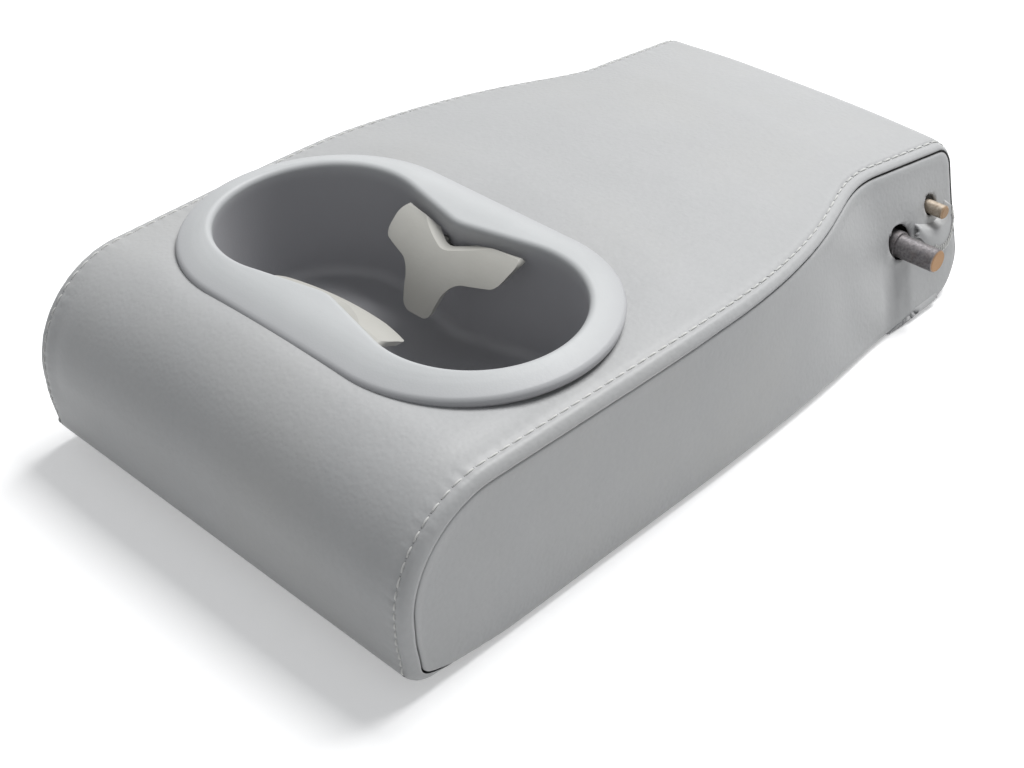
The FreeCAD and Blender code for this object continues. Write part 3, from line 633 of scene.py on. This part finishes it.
# Forms of the cover by their distance from its edge: the stitched valley, puckers, the flange and fine wrinkles
valley = np.exp(-((edge - STITCH_INSET) / 1.1) ** 2)
pucker = np.exp(-((edge - STITCH_INSET - 1.2) / 2.4) ** 2) * np.cos(2 * math.pi * stitch_phase)
flange = np.exp(-((edge - 1.5) / 1.3) ** 2)
flat_swell = smooth(6, 40, edge) * near_rim
unevenness = waves(top, 55.0, 1) * 0.35 + waves(top, 19.0, 2) * 0.10
wrinkle = waves(top * np.array((0.4, 1.0, 1.0)), 2.6, 3) * 0.16 * np.exp(-((edge - 5) / 5.0) ** 2)
move = SWELL_USED * swell * flat_swell - 0.75 * valley - 0.14 * pucker + 0.30 * flange
move += unevenness * flat_swell + wrinkle
# Pressed in under the rim, hollowed beside the seam on the nose, and lifted at the very edge
move -= 0.35 * on_top * np.exp(-((rim_far - RIM_RADIUS) / 5.0) ** 2)
nose = smooth(20, 40, top[..., 2]) * smooth(-80, -110, top[..., 1])
move -= 0.7 * np.exp(-((edge - 11) / 5.0) ** 2) * nose
move += 0.30 * np.exp(-(edge / 0.9) ** 2)
off_floor = smooth(6, 16, top[..., 2])
top = top + normals * (move * off_floor)[..., None]
settle_front(top)
top_panel = new_mesh("cover_top", top, grid_faces(*top.shape[:2]), LEATHER)
top_panel.data.materials.append(PAINTED_SHADE)

# The tucked strips in the open groove take painted shade, a near-black colour
across_top = top.shape[1] - 1
for k, face in enumerate(top_panel.data.polygons):
    row, column = divmod(k, across_top)
    if column < len(TOP_TUCKS) or column >= across_top - len(TOP_TUCKS):
        face.material_index = int(groove[row] > 0.3)
drop_faces(top_panel, lambda p: p.z > 50 and stadium_distance(p.x, p.y) < RIM_RADIUS - 6.5)

# Cover: side panels

def side_grid(rows=60):
    """Points (y, z), half widths and the way into the seam of a side panel, from the seam down to the floor."""
    s, y0, z0, ny, nz = fine_profile
    angles = math.pi / 2 * seam_turn(fine_profile)
    depth = ROLL * (1 - np.cos(angles)) + SEAM_GAP * np.sin(angles) * groove
    seam_y = y0 - depth * ny
    seam_z = np.maximum(z0 - depth * nz, 0.05)
    length = np.r_[0, np.cumsum(np.abs(np.diff(seam_y)) * (seam_z[1:] > 6.5) + 0.04)]
    base_y = seam_y[0] + 0.5 + (seam_y[-1] - seam_y[0] - 1.0) * length / length[-1]
    t = np.linspace(0, 1, rows)[:, None] ** 1.35
    y = seam_y * (1 - t) + base_y * t
    z = seam_z * (1 - t)
    half = side_x(y, z)
    inset = edge_inset(y, z)
    turn_in = np.stack([np.sin(angles), np.cos(angles) * ny, np.cos(angles) * nz], -1)
    return y, crowned(half, z), half - inset, turn_in


def edge_inset(y, z):
    """How far the rolled edge brings the side in at (y, z)."""
    far = np.array(z, float)
    for edge_y, edge_z in zip(fine_profile[1], fine_profile[2]):
        far = np.minimum(far, np.hypot(y - edge_y, z - edge_z))
    near = np.clip((ROLL - far) / ROLL, 0, 1)
    return ROLL * (1 - np.sqrt(np.maximum(1 - near ** 2, 0)))


def cut_hole(points, middle, radius):
    """Moves the points near a hole's edge onto it."""
    dy = points[..., 1] - middle[0]
    dz = points[..., 2] - middle[1]
    far = np.maximum(np.hypot(dy, dz), 1e-6)
    near = (far > radius - 1.0) & (far < radius + 1.0)
    points[..., 1] = np.where(near, middle[0] + dy / far * radius, points[..., 1])
    points[..., 2] = np.where(near, middle[1] + dz / far * radius, points[..., 2])


def bent_line(points, count):
    """Points evenly spaced on a smooth line through the given ones."""
    points = np.array(points)
    at = np.linspace(0, len(points) - 1, count)
    out = np.zeros((count, 2))
    for c in range(2):
        tangent = np.gradient(points[:, c])
        for k, value in enumerate(at):
            i = min(int(value), len(points) - 2)
            f = value - i
            out[k, c] = ((2 * f ** 3 - 3 * f ** 2 + 1) * points[i, c]
                         + (f ** 3 - 2 * f ** 2 + f) * tangent[i]
                         + (3 * f ** 2 - 2 * f ** 3) * points[i + 1, c]
                         + (f ** 3 - f ** 2) * tangent[i + 1])
    return out


def cover_flap(side, columns=33, rows=13):
    """Points and faces of the cover's tongue between the pins: a slit above it, and its foot standing off."""
    upper, lower = bent_line(FLAP_TOP, columns), bent_line(FLAP_FOOT, columns)
    v = np.linspace(0, 1, rows)[:, None]
    y = upper[:, 0] * (1 - v) + lower[:, 0] * v
    z = upper[:, 1] * (1 - v) + lower[:, 1] * v
    u = np.linspace(0, 1, columns)
    stand = 1.9 + 1.3 * np.sin(math.pi * v) ** 0.8 * (1 - 0.7 * u) + 0.4 * v * np.sin(3.4 * u + 0.6)
    stand = stand - 4.4 * (1 - smooth(0, 0.16, v))
    x = side_x(y, z) + stand
    return np.stack([side * x, y, z], -1), grid_faces(rows, columns)


def round_holes(obj):
    """Opens the pin holes of a side panel, brings their edges onto circles and smooths the cover round them."""
    bm = bmesh.new()
    bm.from_mesh(obj.data)

    def in_hole(vertex):
        p = vertex.co / MM
        return any(math.hypot(p.y - m[0], p.z - m[1]) < r - 0.05 for m, r in HOLES)

    bmesh.ops.delete(bm, geom=[f for f in bm.faces if any(in_hole(v) for v in f.verts)], context="FACES")
    bmesh.ops.dissolve_degenerate(bm, edges=bm.edges, dist=0.0002)
    for middle, radius in HOLES:
        ring = []
        for vertex in bm.verts:
            dy, dz = vertex.co.y / MM - middle[0], vertex.co.z / MM - middle[1]
            far = math.hypot(dy, dz)
            if vertex.is_boundary and far < radius + 1.6:
                vertex.co.y = (middle[0] + dy / far * radius) * MM
                vertex.co.z = (middle[1] + dz / far * radius) * MM
            elif far < radius + 4 and not vertex.is_boundary:
                ring.append(vertex)
        for _ in range(8):
            bmesh.ops.smooth_vert(bm, verts=ring, factor=0.5, use_axis_x=True, use_axis_y=True, use_axis_z=True)
    bm.to_mesh(obj.data)
    bm.free()


def side_panel(side):
    """Side panel with its flap, folds and pin holes; side is 1 for the right and -1 for the left."""
    y, z, half, turn_in = side_grid()
    points = np.stack([side * half, y, np.maximum(z, LOWEST)], -1)
    from_seam = np.minimum(np.arange(len(y))[:, None] * 1.0, 10)
    inner = smooth(0, 9, z) * smooth(0, 10, from_seam)
    bulge = waves(points, 60.0, 5 + side) * 0.45 + waves(points, 16.0, 8 + side) * 0.12
    pull = np.exp(-(((y - 92) / 24) ** 2 + ((z - 26) / 26) ** 2))
    folds = pull * np.sin((y * 0.80 + z * 0.45) / 6.4 + 0.8 * np.sin(z / 9.0)) * 0.75
    dent = -0.9 * np.exp(-(((y - 118) / 9) ** 2 + ((z - 20) / 9) ** 2))
    lift = 0.8 * np.exp(-(((y - 139) / 8) ** 2 + ((z - 40) / 9) ** 2))
    below = (y - 122 - (z - 14) * 0.25) / 3.2
    dent -= 0.9 * np.exp(-below ** 2) * smooth(27, 19, z)
    beside = (y - 112 - (z - 20) * 0.35) / 4.0
    dent -= 0.6 * np.exp(-beside ** 2) * smooth(40, 26, z)
    points[..., 0] += side * np.maximum(bulge + folds + dent + lift, -DENT_MOST) * inner
    swollen = 0.15 * np.exp(-((from_seam - 5) / 3.0) ** 2) * smooth(2, 9, z)
    points[..., 0] += side * swollen
    for middle, radius in HOLES:
        cut_hole(points, middle, radius)
    inwards = turn_in * np.array((side, 1, 1))
    tuck = np.array([points[0] - inwards * depth for depth in SIDE_TUCKS])
    points[0] -= inwards * (0.55 * groove)[:, None]
    points[1] -= inwards * (0.22 * groove)[:, None]
    points = np.concatenate([tuck, points])
    settle_front(points)
    rows, columns = points.shape[:2]
    faces = grid_faces(rows, columns)
    flap, flap_faces = cover_flap(side)
    name = "cover_side_right" if side > 0 else "cover_side_left"
    all_points = np.concatenate([points.reshape(-1, 3), flap.reshape(-1, 3)])
    all_faces = np.concatenate([faces, flap_faces + rows * columns])
    obj = new_mesh(name, all_points, all_faces, LEATHER, flip=side > 0)
    obj.data.materials.append(PAINTED_SHADE)
    # Painted shade: the tucked strips in the open groove take the near-black colour
    for k, face in enumerate(obj.data.polygons[:len(SIDE_TUCKS) * (columns - 1)]):
        face.material_index = int(groove[k % (columns - 1)] > 0.3)
    round_holes(obj)
    solid = obj.modifiers.new("thickness", "SOLIDIFY")
    solid.thickness = THICKNESS
    solid.offset = -1
    thick = bpy.data.meshes.new_from_object(obj.evaluated_get(bpy.context.evaluated_depsgraph_get()))
    for vertex in thick.vertices:
        vertex.co.z = max(vertex.co.z, 0.00002)
    obj.modifiers.clear()
    obj.data = thick
    return obj


sides = {side: side_panel(side) for side in (1, -1)}

# Stitches

def on_line(at, run, table):
    """Row of a table of points at a place between its own places."""
    return np.array([np.interp(at, run, table[:, c]) for c in range(3)])


def tube(points, faces, middles, normals_at, radii, ring=7, flat=1.15):
    """Adds one tube through the given middles to a list of points and faces."""
    start = len(points)
    for i, middle in enumerate(middles):
        before = middles[max(i - 1, 0)]
        after = middles[min(i + 1, len(middles) - 1)]
        along = (after - before) / np.linalg.norm(after - before)
        side_way = np.cross(along, normals_at[i])
        side_way /= np.linalg.norm(side_way)
        out = np.cross(side_way, along)
        for m in range(ring):
            w = 2 * math.pi * m / ring
            points.append(middle + radii[i] * (math.cos(w) * out + flat * math.sin(w) * side_way))
    for a in range(len(middles) - 1):
        for m in range(ring):
            i, j = start + a * ring + m, start + a * ring + (m + 1) % ring
            faces.append((i, j, j + ring, i + ring))


def stitch_rows(side):
    """Threads on the top panel beside the seam, and the needle holes between them, as sunk cones in a near-black
    painted shade.
    """
    s, y0, z0 = fine_profile[:3]
    line = np.zeros((len(s), 3))
    out = np.zeros((len(s), 3))
    for i in range(len(s)):
        use = [j for j in range(len(fine_columns)) if fine_columns[j][0] * side > 0 and fine_columns[j][2] == 0]
        use.sort(key=lambda j: edge[i, j])
        at = edge[i, use]
        for c in range(3):
            line[i, c] = np.interp(STITCH_INSET, at, top[i, use, c])
            out[i, c] = np.interp(STITCH_INSET, at, normals[i, use, c])
    first = stitch_at[np.argmax(z0 > 4)]
    last = stitch_at[len(z0) - 1 - np.argmax(z0[::-1] > 27)]
    threads, thread_faces, holes, hole_faces = [], [], [], []

    def spot(at, table):
        return on_line(at, stitch_at, table)

    for k in range(int(first) + 1, int(last)):
        middles, ups, radii = [], [], []
        for f in np.linspace(0, 1, 8):
            at = k + 0.10 + 0.80 * f
            n = spot(at, out)
            n /= np.linalg.norm(n)
            arch = math.sin(math.pi * f)
            middles.append(spot(at, line) + n * (0.50 * arch ** 0.6 - 0.18))
            ups.append(n)
            radii.append(THREAD_RADIUS * (0.5 + 0.5 * arch ** 0.4))
        tube(threads, thread_faces, middles, ups, radii)
        middle, n = spot(k, line), spot(k, out)
        n /= np.linalg.norm(n)
        along = spot(k + 0.1, line) - middle
        along /= np.linalg.norm(along)
        way = np.cross(along, n)
        # Needle hole: a small sunk cone in the near-black painted shade
        start = len(holes)
        for m in range(HOLE_SIDES):
            w = 2 * math.pi * m / HOLE_SIDES
            holes.append(middle + n * 0.10 + 0.62 * math.cos(w) * along + 0.55 * math.sin(w) * way)
        holes.append(middle - n * 0.3)
        hole_faces += [(start + m, start + (m + 1) % HOLE_SIDES, start + HOLE_SIDES) for m in range(HOLE_SIDES)]
    label = "right" if side > 0 else "left"
    return (new_mesh("topstitch_" + label, np.array(threads), thread_faces, THREAD),
            new_mesh("needle_holes_" + label, np.array(holes), hole_faces, PAINTED_SHADE))


def overlock(side):
    """Threads wound round the free edge of the flap, and the one that runs along it."""
    flap = cover_flap(side, 65, 25)[0]
    edge_line = np.concatenate([flap[-1, 24:], flap[-2:5:-1, -1]])
    inwards = np.concatenate([flap[-4, 24:], flap[-2:5:-1, -4]]) - edge_line
    inwards /= np.linalg.norm(inwards, axis=1, keepdims=True)
    run = np.r_[0, np.cumsum(np.linalg.norm(np.diff(edge_line, axis=0), axis=1))]
    out = np.array((side * 0.94, 0.0, 0.34))
    points, faces = [], []

    def spot(at, table):
        return on_line(at, run, table)

    for at in np.arange(0.6, run[-1] - 0.4, OVERLOCK_PITCH):
        place, way = spot(at, edge_line), spot(at, inwards)
        way /= np.linalg.norm(way)
        # From the face of the flap over its edge to the back
        loop = [place + way * 2.5 + out * 0.05, place + way * 2.2 + out * 0.32,
                place + way * 1.1 + out * 0.40, place + out * 0.30 - way * 0.25,
                place - out * 0.70 - way * 0.45, place - out * 1.65 - way * 0.1,
                place - out * 1.7 + way * 1.0]
        along = spot(min(at + 0.5, run[-1]), edge_line) - spot(max(at - 0.5, 0), edge_line)
        along /= np.linalg.norm(along)
        ups = [np.cross(along, loop[min(i + 1, 6)] - loop[max(i - 1, 0)]) for i in range(7)]
        ups = [u / np.linalg.norm(u) for u in ups]
        tube(points, faces, loop, ups, [0.16, 0.27, 0.30, 0.30, 0.30, 0.27, 0.16], ring=6)
    rope = [spot(at, edge_line) + out * 0.10 - spot(at, inwards) * 0.35
            for at in np.arange(0.2, run[-1], 0.7)]
    tube(points, faces, rope, [out] * len(rope), [0.30] * len(rope), ring=6)
    return new_mesh("flap_overlock_" + ("right" if side > 0 else "left"), np.array(points), faces, THREAD)


threads = [obj for side in (1, -1) for obj in stitch_rows(side)]
threads += [overlock(side) for side in (1, -1)]

# Foam

def foam_block():
    """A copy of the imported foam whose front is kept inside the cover."""
    mesh = cad["foam_pad"].data.copy()
    flat = np.zeros(len(mesh.vertices) * 3, np.float32)
    mesh.vertices.foreach_get("co", flat)
    points = flat.reshape(-1, 3).astype(float) / MM
    y0, z0, ny, nz = fine_profile[1:]
    for i in np.flatnonzero(points[:, 1] < -120):
        k = np.argmin(np.hypot(points[i, 1] - y0, points[i, 2] - z0))
        deep = (y0[k] - points[i, 1]) * ny[k] + (z0[k] - points[i, 2]) * nz[k]
        if deep < FOAM_CLEAR:
            points[i, 1] -= (FOAM_CLEAR - deep) * ny[k]
            points[i, 2] -= (FOAM_CLEAR - deep) * nz[k]
    settle_front(points)
    mesh.vertices.foreach_set("co", (points * MM).astype(np.float32).ravel())
    mesh.update()
    return new_object("foam_block", mesh)


foam = foam_block()

# Leaf springs: finer copies of the imported ones

def bent_spring(node):
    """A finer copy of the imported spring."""
    bm = bmesh.new()
    bm.from_mesh(cad[node].data)
    for _ in range(2):
        long_edges = [e for e in bm.edges if e.calc_length() > 0.0015]
        bmesh.ops.subdivide_edges(bm, edges=long_edges, cuts=1)
    bmesh.ops.triangulate(bm, faces=bm.faces)
    mesh = bpy.data.meshes.new(node.replace("gripper_spring", "bent_spring"))
    bm.to_mesh(mesh)
    bm.free()
    mesh.materials.append(SPRING)
    obj = new_object(mesh.name, mesh)
    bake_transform(obj)
    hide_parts(node)
    return obj


bent_spring("gripper_spring_rear")
bent_spring("gripper_spring_front")

# Lining under the part
lining_y = np.linspace(*LINING_ENDS, 100)
lining_u = np.linspace(-1, 1, 60)
gy, gu = np.meshgrid(lining_y, lining_u, indexing="ij")
lining = np.stack([gu * (side_x(gy, 0.0) - LINING_INSET), gy, np.zeros_like(gy)], -1)
lining[..., 2] = 0.25 + 0.2 * waves(lining, 14.0, 21)
settle_front(lining)
lining_sheet = new_mesh("lining", lining, grid_faces(*lining.shape[:2]), LINING, flip=True)

for obj in [top_panel, lining_sheet, cup_tub, foam] + list(sides.values()) + threads:
    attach(obj, "armrest")
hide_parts("top_panel")
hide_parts("side_panel_right")
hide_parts("side_panel_left")
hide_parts("bottom_panel")
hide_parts("cup_holder")
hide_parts("foam_pad")

# Stage, light and camera

def seen_rays(tree):
    """1 for camera, glossy and transmission rays, which see the white surround."""
    path = tree.nodes.new("ShaderNodeLightPath")
    first = add(tree, "ShaderNodeMath", operation="MAXIMUM")
    tree.links.new(path.outputs["Is Camera Ray"], first.inputs[0])
    tree.links.new(path.outputs["Is Glossy Ray"], first.inputs[1])
    second = add(tree, "ShaderNodeMath", operation="MAXIMUM")
    tree.links.new(first.outputs[0], second.inputs[0])
    tree.links.new(path.outputs["Is Transmission Ray"], second.inputs[1])
    return second.outputs[0]


def floor():
    corners = [(x * FLOOR_HALF, y * FLOOR_HALF, FLOOR_Z) for x, y in ((-1, -1), (1, -1), (1, 1), (-1, 1))]
    obj = new_mesh("floor", corners, [(0, 1, 2, 3)])
    material, tree, shader = nodes_of("pale_floor")
    shader.inputs["Base Color"].default_value = (0.86, 0.86, 0.86, 1)
    shader.inputs["Roughness"].default_value = 1.0
    shader.inputs["Specular IOR Level"].default_value = 0.0
    glow = add(tree, "ShaderNodeEmission", Strength=0.36)
    both = tree.nodes.new("ShaderNodeAddShader")
    choose = tree.nodes.new("ShaderNodeMixShader")
    tree.links.new(shader.outputs[0], both.inputs[0])
    tree.links.new(glow.outputs[0], both.inputs[1])
    tree.links.new(seen_rays(tree), choose.inputs["Fac"])
    tree.links.new(shader.outputs[0], choose.inputs[1])
    tree.links.new(both.outputs[0], choose.inputs[2])
    tree.links.new(choose.outputs[0], tree.nodes["Material Output"].inputs["Surface"])
    obj.data.materials.append(material)


def world():
    made = bpy.data.worlds.new("studio")
    bpy.context.scene.world = made
    made.use_nodes = True
    tree = made.node_tree
    back = tree.nodes["Background"]
    back.inputs["Color"].default_value = (0.93, 0.96, 1.0, 1)
    back.inputs["Strength"].default_value = 0.25
    white = add(tree, "ShaderNodeBackground", Strength=1.0)
    white.inputs["Color"].default_value = (1, 1, 1, 1)
    choose = tree.nodes.new("ShaderNodeMixShader")
    tree.links.new(seen_rays(tree), choose.inputs["Fac"])
    tree.links.new(back.outputs[0], choose.inputs[1])
    tree.links.new(white.outputs[0], choose.inputs[2])
    tree.links.new(choose.outputs[0], tree.nodes["World Output"].inputs["Surface"])


def area_light(name, place, target, size, power):
    data = bpy.data.lights.new(name, "AREA")
    data.shape = "RECTANGLE"
    data.size, data.size_y = size
    data.energy = power
    obj = new_object(name, data)
    obj.location = place
    obj.rotation_euler = (Vector(target) - Vector(place)).to_track_quat("-Z", "Y").to_euler()


def camera():
    """The photo's own camera, fitted to its seams, rim and lower edges."""
    az, pitch, roll = 0.8045, 0.6411, -0.0404
    d = Vector((-math.sin(az) * math.cos(pitch), math.cos(az) * math.cos(pitch), -math.sin(pitch)))
    right = Vector((math.cos(az), math.sin(az), 0))
    up = right.cross(d)
    r = math.cos(roll) * right + math.sin(roll) * up
    u = -math.sin(roll) * right + math.cos(roll) * up
    data = bpy.data.cameras.new("camera")
    data.lens, data.sensor_width = 61.84, 36.0
    data.clip_start, data.clip_end = 0.01, 20
    obj = new_object("camera", data)
    turn = Matrix((r, u, -d)).transposed().to_4x4()
    turn.translation = Vector((0.41940, -0.42228, 0.42979))
    obj.matrix_world = turn
    bpy.context.scene.camera = obj


floor()
world()
area_light("overhead", (0.0, 1.6, 2.9), (0, 0, 0.03), (1.6, 1.6), 118)
camera()
bpy.context.scene.view_settings.view_transform = "Standard"
